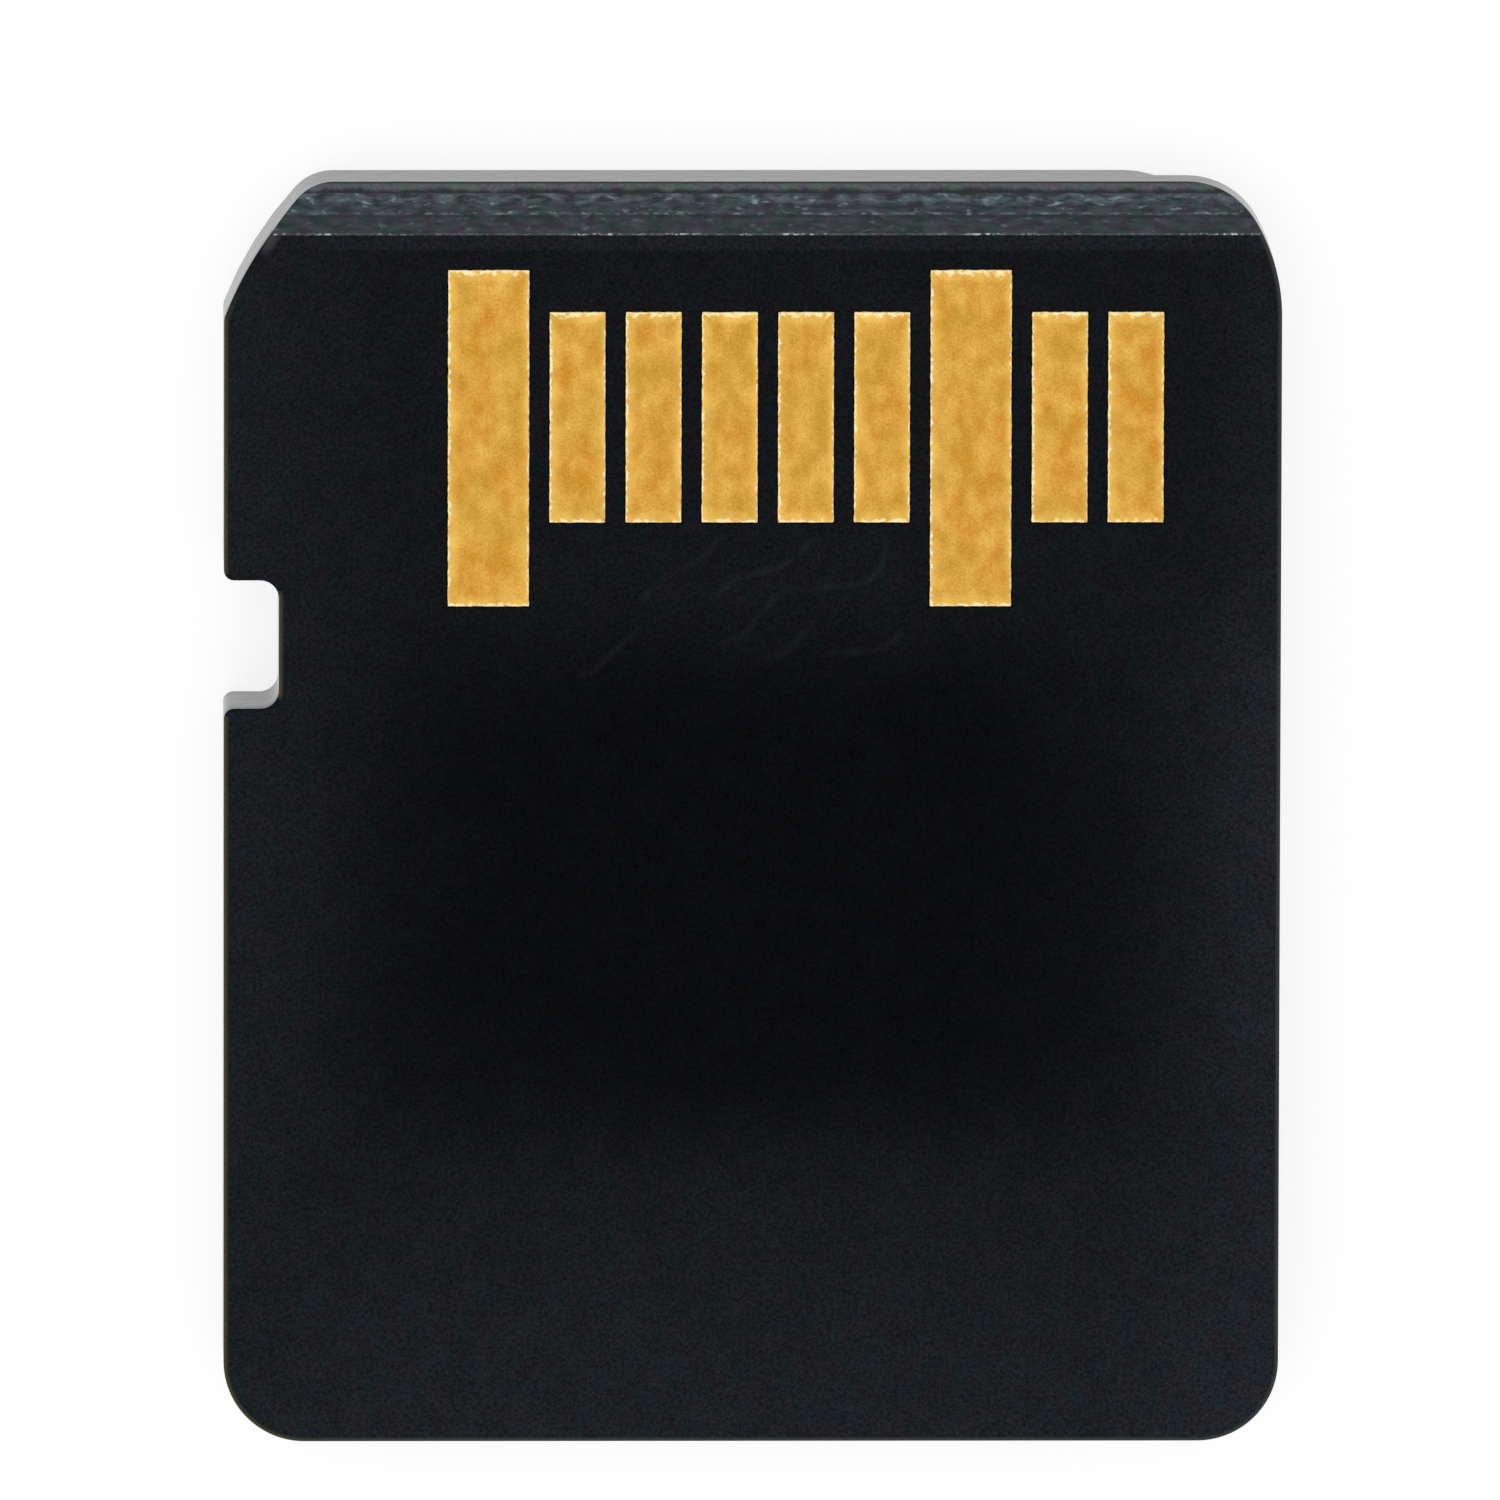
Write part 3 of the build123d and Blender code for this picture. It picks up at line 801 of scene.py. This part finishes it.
# Printed board: rolled edge on the contact face, a window in the resist for each contact, and low ridges
# where copper tracks run under the resist, with a painted highlight along their crests
boardForm = {
    "windowClearance": 0.02,
    "paleLineBand": 0.10,    # kept under the notch mouth radius
    "paleLineTurn": 8,       # how soon the pale line ends where an edge turns away from the side
    "edgeSteps": 5,
    "groundFinish": 1,   # places in the board's list of finishes
    "sawnFinish": 2,
    "trackWidth": 0.14,
    "trackHeight": 0.004,
    "trackSink": 0.002,
    "trackShoulder": (0.55, 0.8, 0.4),  # shares of the half width, the height and the painted highlight
    "trackTaper": 0.15,
    "trackStep": 0.04,
    "trackCrestHighlight": 0.11,    # painted highlight: share of the pale line colour on a crest
    "crestHighlightMm": 0.22,     # the painted highlight is patchy along a ridge
    "crestHighlightLevel": 0.6,
    "crestHighlightSpan": (0.1, 1.0),
    # start in millimetres, heading, then runs and turns
    "tracks": (
        ((1.60, 3.42), -97, ((0.31,), (0.42, -80), (0.62,), (0.45, 47), (0.42,), (0.45, -28), (0.28,))),
        ((0.74, 3.42), -115, ((0.09,), (0.75, -52), (0.30,), (0.40, 30), (0.30,))),
        ((-0.36, 3.42), -112, ((0.08,), (0.60, -40), (0.40,), (0.40, 20), (0.35,))),
        ((0.77, 2.36), -133, ((0.49,), (0.30, -35), (0.30,))),
        ((1.82, 2.28), -128, ((0.20,), (0.40, -48), (0.60,))),
        ((-1.26, 2.31), -137, ((0.80,), (0.30, -30), (0.15,))),
    ),
}


def addTrack(bm, route):
    # a low closed ridge along the route, faded in and out at its ends, with a painted highlight along its crest
    form = boardForm
    half, crest, sink = form["trackWidth"] / 2, form["trackHeight"], -form["trackSink"]
    outShare, highShare, highlightShare = form["trackShoulder"]
    # offset, height and share of the painted highlight across the ridge
    profile = (
        (-half, sink, 0.0),
        (-half * outShare, crest * highShare, highlightShare),
        (0.0, crest, 1.0),
        (half * outShare, crest * highShare, highlightShare),
        (half, sink, 0.0),
    )
    path = [route[0]]
    for start, end in zip(route, route[1:]):
        count = max(1, round((end - start).length / form["trackStep"]))
        path += [start.lerp(end, k / count) for k in range(1, count + 1)]
    lengths = [0.0]
    for start, end in zip(path, path[1:]):
        lengths.append(lengths[-1] + (end - start).length)
    layer = bm.verts.layers.float["fromEdge"]
    near, far = resistLook["paleLineMm"]
    least, most = form["crestHighlightSpan"]
    last = None
    for k, point in enumerate(path):
        ahead = path[min(k + 1, len(path) - 1)] - path[max(k - 1, 0)]
        side = Vector((-ahead.y, ahead.x)).normalized()
        fade = min(1.0, lengths[k] / form["trackTaper"], (lengths[-1] - lengths[k]) / form["trackTaper"])
        # painted highlight on the crest, in patches along the ridge
        patch = form["crestHighlightLevel"] + noise.noise(point.to_3d() / form["crestHighlightMm"])
        rub = form["trackCrestHighlight"] * fade * min(most, max(least, patch))
        ring = []
        for offset, lift, share in profile:
            spot = point + side * offset
            lift = sink + (lift - sink) * fade
            vert = bm.verts.new((spot.x * mm, spot.y * mm, (cardHeight + lift) * mm))
            vert[layer] = far - (far - near) * rub * share
            ring.append(vert)
        if last:
            bridgeRings(bm, last, ring)
        else:
            bm.faces.new(ring)
        last = ring
    bm.faces.new(last)


def paleLineCutback(outline):
    # round the key corner and in the notch the pale edge line is kept only on the edges that face sideways
    notchEnd = halfLength - plan["notchFromLead"] - plan["notchLength"] - boardForm["paleLineBand"]
    lineCutbacks = []
    for point, mitre in zip(outline, mitres(outline)):
        cutBack = point.x < 0 and point.y > notchEnd
        turned = 1 - mitre.normalized().x ** boardForm["paleLineTurn"]
        lineCutbacks.append(boardForm["paleLineBand"] * turned if cutBack else 0.0)
    return lineCutbacks


def buildBoard(contacts):
    outline = (keySideChain() + railSideChain()[1:])[:-1]
    lineCutbacks = paleLineCutback(outline)
    radius, band = plan["boardEdgeRadius"], boardForm["paleLineBand"]
    bm = newBmesh()
    bottom = addRing(bm, outline, boardBottom, lineCutbacks)
    ring = addRing(bm, outline, cardHeight - radius, lineCutbacks)
    for face in fillRings(bm, [bottom], flip=True) + bridgeRings(bm, bottom, ring):
        face.material_index = boardForm["sawnFinish"]
    for k in range(1, boardForm["edgeSteps"] + 1):
        a = math.radians(90 * k / boardForm["edgeSteps"])
        inset = radius * (1 - math.cos(a))
        paleLine = [max(inset, cutBack) for cutBack in lineCutbacks]
        above = addRing(bm, insetRing(outline, inset), cardHeight - radius + radius * math.sin(a), paleLine)
        bridgeRings(bm, ring, above)
        ring = above
    inner = addRing(bm, insetRing(outline, band), cardHeight, band)
    bridgeRings(bm, ring, inner)
    windows = []
    for low, high in contacts:
        corners = boxCorners(low, high, -boardForm["windowClearance"])
        rim = addRing(bm, corners, cardHeight, band)
        floor = addRing(bm, corners, low[2] / mm, band)
        bridgeRings(bm, floor, rim)
        bm.faces.new(floor)
        windows.append(rim)
    fillRings(bm, [inner] + windows)
    cutLeadBevel(bm, boardForm["groundFinish"])
    for start, heading, moves in boardForm["tracks"]:
        addTrack(bm, walk(start, heading, moves))
    return finishMesh(bm, "printed_board_mesh")


# Moulded body: its solid is right as it is, with the room moulded round the chips, so it only takes its finishes
bodyFaces = {
    "wallLimit": 0.1,      # a face is a wall if its normal rises or falls by less than this
    "slopeLimit": 0.999,   # and ground if its normal is this near the slope's
    "wallFinish": 1,       # places in the body's list of finishes, where 0 is for all other faces
    "slopeFinish": 2,
}


def dressBody(finishes):
    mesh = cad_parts["moulded_body"].data
    mesh.materials.clear()
    for material in finishes:
        mesh.materials.append(material)
    for face in mesh.polygons:
        if face.normal.dot(slopeNormal) > bodyFaces["slopeLimit"]:
            face.material_index = bodyFaces["slopeFinish"]
        elif abs(face.normal.z) < bodyFaces["wallLimit"]:
            face.material_index = bodyFaces["wallFinish"]
        else:
            face.material_index = 0


# Contacts: plated pads with slightly ragged edges and a low lip, where the plating built up
padForm = {
    "edgeStep": 0.02,
    "spread": 0.008,       # the plating grows a little past the copper
    "ragged": 0.006,
    "raggedGrain": 0.05,
    "raggedReach": 0.05,
    "cornerPull": -0.5,    # corners draw in by this part of the raggedness
    "sideApart": 31.0,     # so that no two edges are ragged alike
    "padApart": 7.3,
    # how fast the painted highlight along the rim fades: rear, rail side, lead, key side
    "highlightSideFade": (0.75, 1.4, 0.5, 1.0),
    "deepInset": 0.25,
    # inset from the edge and height against the face
    "rings": (
        (0.0, -0.010), (0.002, -0.004), (0.006, 0.0), (0.014, 0.002),
        (0.03, 0.001), (0.06, 0.0), (0.12, 0.0), (0.20, 0.0),
    ),
}


def padRing(low, high, inset, seed):
    # points round the pad at this inset, and the number of the side that each is on
    corners = boxCorners(low, high, inset - padForm["spread"])
    keep = padForm["ragged"] * max(0.0, 1 - inset / padForm["raggedReach"])
    ring, sides = [], []
    for k in range(4):
        run = corners[(k + 1) % 4] - corners[k]
        side = (high[k % 2] - low[k % 2]) / mm
        steps = round(side / padForm["edgeStep"])
        out = Vector((run.y, -run.x)).normalized()
        for s in range(steps):
            along = k * padForm["sideApart"] + s * padForm["edgeStep"] / padForm["raggedGrain"]
            spot = Vector((along, seed, 0.5))  # half way between two layers of the noise
            wander = noise.noise(spot) if s else padForm["cornerPull"]
            ring.append(corners[k] + run * s / steps + out * wander * keep)
            sides.append(k)
    return ring, sides


def buildContact(low, high, seed):
    top = high[2] / mm
    bm = newBmesh()
    ring = addRing(bm, padRing(low, high, 0.0, seed)[0], low[2] / mm)
    fillRings(bm, [ring], flip=True)
    deepest = padForm["rings"][-1][0]
    for inset, lift in padForm["rings"]:
        points, sides = padRing(low, high, inset, seed)
        # the painted highlight along the rim fades at its own rate on each side
        fade = [inset * padForm["highlightSideFade"][k] if inset < deepest else padForm["deepInset"] for k in sides]
        above = addRing(bm, points, top + lift, fade)
        bridgeRings(bm, ring, above)
        ring = above
    fillRings(bm, [ring])
    return finishMesh(bm, "contact_mesh")


contactNames = sorted(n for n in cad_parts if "_contact_" in n)
contactBoxes = {n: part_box(n) for n in contactNames}

boardFinish = [
    solderResist(),
    glassLaminate(),
    sawnWall("glass_epoxy_laminate_sawn", ("laminateGreen", "laminateMauve"), "laminateRoughness"),
]
bodyFinish = [
    mouldedResin(),
    sawnWall("epoxy_compound_sawn_smooth", ("wallGreen", "wallMauve"), "wallRoughness"),
    resinSlope(),
]
gold = platedGold()
for name, look in innerLooks.items():
    innerFinish(name, look)
print("materials: resist, laminate, resin, gold and the pieces sealed inside")

boardMesh = buildBoard(list(contactBoxes.values()))
makePiece("printed_board_dressed", boardMesh, "printed_board", boardFinish)
dressBody(bodyFinish)
for number, name in enumerate(contactNames):
    contactMesh = buildContact(*contactBoxes[name], number * padForm["padApart"])
    makePiece(name + "_dressed", contactMesh, name, [gold])
print("pieces: board, body and %d contacts" % len(contactNames))


# White paper floor under a white tent
stage = {
    "floorSize": 3.0,
    "floorGapMm": 0.02,    # keeps the paper just off the label side
    "floorColour": "#A0A0A0",
    "floorRoughness": 0.9,
    "floorGlow": 0.78,     # lifts the paper to white for the camera
    "mirrorShare": 0.70,   # part of that glow that the walls of the card mirror
    "tentColour": "#FFFFFF",
    "tentStrength": 0.62,
}


def buildStage():
    half = stage["floorSize"] / 2
    level = cadBox[0][2] - stage["floorGapMm"] * mm
    corners = [(-half, -half, level), (half, -half, level), (half, half, level), (-half, half, level)]
    mesh = bpy.data.meshes.new("floor_mesh")
    mesh.from_pydata(corners, [], [(0, 1, 2, 3)])
    floor = bpy.data.objects.new("floor", mesh)
    bpy.context.scene.collection.objects.link(floor)
    material, tree, shader, _ = newMaterial("paper_white_matt")
    ray = addNode(tree, "ShaderNodeLightPath").node.outputs
    mirrored = addNode(
        tree, "ShaderNodeMath", [ray["Is Glossy Ray"], ray["Is Transmission Ray"]], operation="MAXIMUM",
    )
    mirrored = addNode(tree, "ShaderNodeMath", [mirrored, stage["mirrorShare"]], operation="MULTIPLY")
    seen = addNode(tree, "ShaderNodeMath", [ray["Is Camera Ray"], mirrored], operation="MAXIMUM")
    glow = addNode(tree, "ShaderNodeMath", [seen, stage["floorGlow"]], operation="MULTIPLY")
    setInputs(tree, shader, {
        "Base Color": hexToLinear(stage["floorColour"]), "Roughness": stage["floorRoughness"],
        "Specular IOR Level": 0.0, "Emission Color": (1, 1, 1, 1), "Emission Strength": glow,
    })
    mesh.materials.append(material)
    world = bpy.data.worlds.new("white_tent")
    bpy.context.scene.world = world
    world.use_nodes = True
    setInputs(world.node_tree, world.node_tree.nodes["Background"], {
        "Color": hexToLinear(stage["tentColour"]), "Strength": stage["tentStrength"],
    })


buildStage()

# One large softbox above, a little towards the rear and the key side
softboxes = {
    "overhead_softbox": {"from": (-0.16, -0.12, 0.68), "size": 0.9, "watts": 1.3},
}
for name, box in softboxes.items():
    lamp = bpy.data.lights.new(name, "AREA")
    lamp.shape = "SQUARE"
    lamp.size = box["size"]
    lamp.energy = box["watts"]
    holder = bpy.data.objects.new(name, lamp)
    holder.location = box["from"]
    holder.rotation_euler = (-Vector(box["from"])).to_track_quat("-Z", "Y").to_euler()
    bpy.context.scene.collection.objects.link(holder)

# Camera: a long lens almost straight above, leaning towards the lead end
shot = {
    "leanDeg": 8.2,
    "yawDeg": -1.13,
    "rollDeg": 0.13,
    "distanceMm": 512.5,
    "focalPx": 43325.0,
    "imagePx": 1500,
    "faceCentrePx": (752.2, 815.3),
    "sensorMm": 36.0,
    "clipM": (0.01, 20.0),
}


def buildCamera():
    lean, yaw, roll = (math.radians(shot[k]) for k in ("leanDeg", "yawDeg", "rollDeg"))
    turn = Matrix.Rotation(yaw, 3, "Y") @ Matrix.Rotation(-lean, 3, "X") @ Matrix.Rotation(roll, 3, "Z")
    right, up, back = (turn.col[k] for k in range(3))
    faceCentre = Vector((0, 0, cadBox[1][2]))
    place = faceCentre + back * shot["distanceMm"] * mm
    mmPerPx = shot["distanceMm"] / shot["focalPx"]
    offX = (shot["imagePx"] / 2 - shot["faceCentrePx"][0]) * mmPerPx * mm
    offY = (shot["faceCentrePx"][1] - shot["imagePx"] / 2) * mmPerPx * mm
    aim = faceCentre + right * offX + up * offY
    back = (place - aim).normalized()
    right = up.cross(back).normalized()
    up = back.cross(right)
    data = bpy.data.cameras.new("photo_camera")
    data.sensor_width = shot["sensorMm"]
    data.lens = shot["focalPx"] / shot["imagePx"] * shot["sensorMm"]
    data.clip_start, data.clip_end = shot["clipM"]
    camera = bpy.data.objects.new("photo_camera", data)
    camera.matrix_world = Matrix.Translation(place) @ Matrix((right, up, back)).transposed().to_4x4()
    bpy.context.scene.collection.objects.link(camera)
    bpy.context.scene.camera = camera


buildCamera()
bpy.context.scene.view_settings.view_transform = "Standard"
print("stage, light and camera set")
